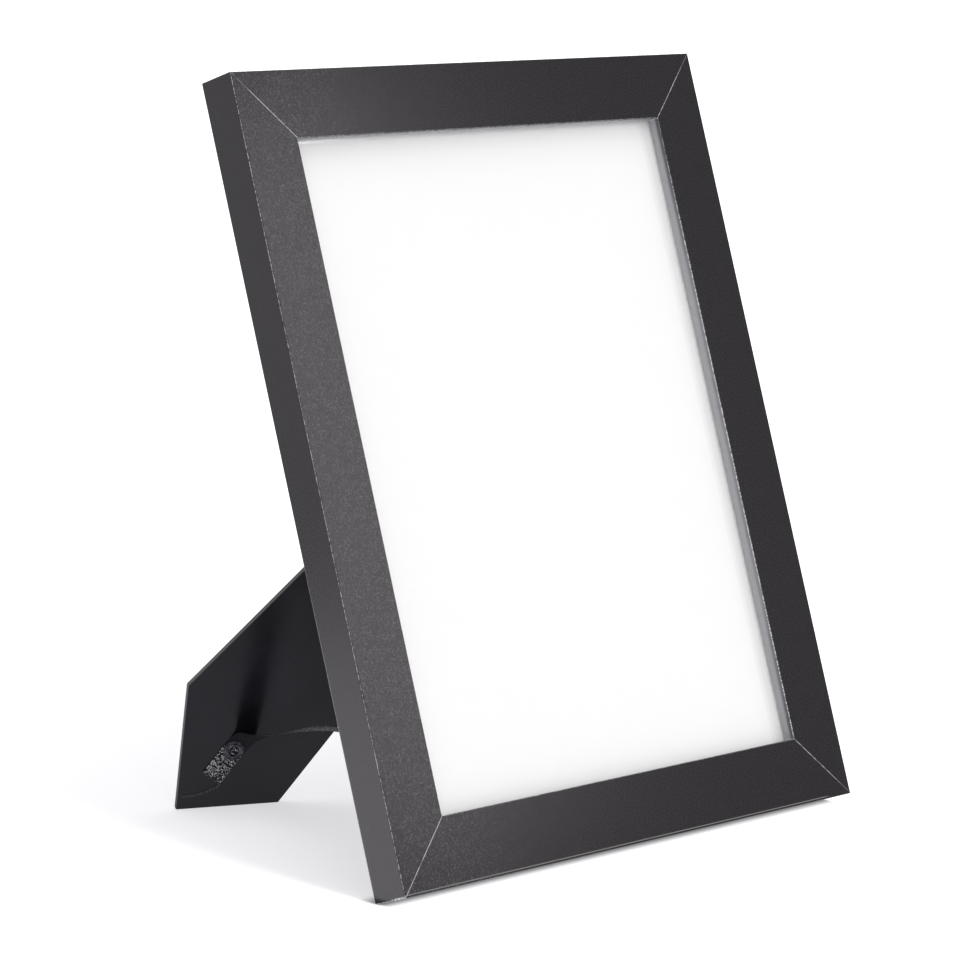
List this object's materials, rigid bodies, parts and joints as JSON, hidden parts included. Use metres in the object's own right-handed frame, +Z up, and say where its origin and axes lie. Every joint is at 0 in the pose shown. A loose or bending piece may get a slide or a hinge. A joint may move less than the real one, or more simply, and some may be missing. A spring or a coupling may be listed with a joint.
{
  "type": "easel back photo frame",
  "caption": "Picture frame of mitred rails holding glass and a backboard under turn tabs, propped on a hinged easel strut that a ribbon stops.",
  "frame": {"origin": "on the table, at the middle of the standing frame's footprint box", "axes": "+X to the right seen from the front, +Y from the picture's face to the strut, +Z up"},
  "size_m": [0.2656, 0.1979, 0.3189],
  "materials": {
    "rail_foil": "fibreboard core wrapped in matt charcoal foil with a fine leathery grain",
    "glass": "clear float glass, edges seamed",
    "blank_paper": "plain white blank sheet",
    "filler_card": "plain brown card",
    "backboard_black": "black-faced hardboard, satin",
    "strut_black": "hardboard with a semi-gloss black face and grey-black sawn edges",
    "tab_steel": "blackened steel strip",
    "rivet_steel": "blackened domed rivets, bright where worn",
    "hinge_steel": "blackened steel, burnished at the knuckles",
    "bright_steel": "drawn steel wire and strip",
    "eyelet_metal": "gunmetal lacquer over pressed metal, worn at the rolled rim",
    "ribbon_weave": "black woven ribbon with a slight glitter"
  },
  "bodies": {
    "frame": {"bottom_rail": "rail_foil", "top_rail": "rail_foil", "left_rail": "rail_foil", "right_rail": "rail_foil", "mitre_nails": "bright_steel", "glass_pane": "glass", "picture_sheet": "blank_paper", "filler_board": "filler_card", "backboard": "backboard_black", "tab_rivets": "rivet_steel", "hinge_board_leaf": "hinge_steel", "hinge_pin": "bright_steel", "hinge_board_rivets": "rivet_steel", "board_eyelet": "eyelet_metal", "board_eyelet_washer": "eyelet_metal", "ribbon_board_end": "ribbon_weave", "ribbon_span": "ribbon_weave"},
    "strut": {"easel_strut": "strut_black", "hinge_strut_leaf": "hinge_steel", "hinge_strut_rivets": "rivet_steel", "strut_eyelet": "eyelet_metal", "strut_eyelet_washer": "eyelet_metal", "ribbon_tail": "ribbon_weave"},
    "tab_left_upper": {"tab_left_upper": "tab_steel"},
    "tab_left_lower": {"tab_left_lower": "tab_steel"},
    "tab_right_upper": {"tab_right_upper": "tab_steel"},
    "tab_right_lower": {"tab_right_lower": "tab_steel"},
    "tab_top": {"tab_top": "tab_steel"},
    "tab_bottom": {"tab_bottom": "tab_steel"}
  },
  "joints": [
    {"name": "strut_hinge", "type": "hinge", "parent": "frame", "child": "strut", "pos_m": [0.0425, -0.02386, 0.19748], "axis": [0.7771, -0.1892, -0.6002], "range_deg": [-40.2, 0], "deforming": ["ribbon_span"]},
    {"name": "tab_left_upper_turn", "type": "hinge", "parent": "frame", "child": "tab_left_upper", "pos_m": [-0.09695, -0.0156, 0.23], "axis": [0, 0.9537, -0.3007], "range_deg": [-90, 90]},
    {"name": "tab_left_lower_turn", "type": "hinge", "parent": "frame", "child": "tab_left_lower", "pos_m": [-0.09695, -0.06071, 0.08694], "axis": [0, 0.9537, -0.3007], "range_deg": [-90, 90]},
    {"name": "tab_right_upper_turn", "type": "hinge", "parent": "frame", "child": "tab_right_upper", "pos_m": [0.09695, -0.0156, 0.23], "axis": [0, 0.9537, -0.3007], "range_deg": [-90, 90]},
    {"name": "tab_right_lower_turn", "type": "hinge", "parent": "frame", "child": "tab_right_lower", "pos_m": [0.09695, -0.06071, 0.08694], "axis": [0, 0.9537, -0.3007], "range_deg": [-90, 90]},
    {"name": "tab_top_turn", "type": "hinge", "parent": "frame", "child": "tab_top", "pos_m": [0, 0.00055, 0.28122], "axis": [0, 0.9537, -0.3007], "range_deg": [-90, 90]},
    {"name": "tab_bottom_turn", "type": "hinge", "parent": "frame", "child": "tab_bottom", "pos_m": [0, -0.07686, 0.03573], "axis": [0, 0.9537, -0.3007], "range_deg": [-90, 90]}
  ]
}
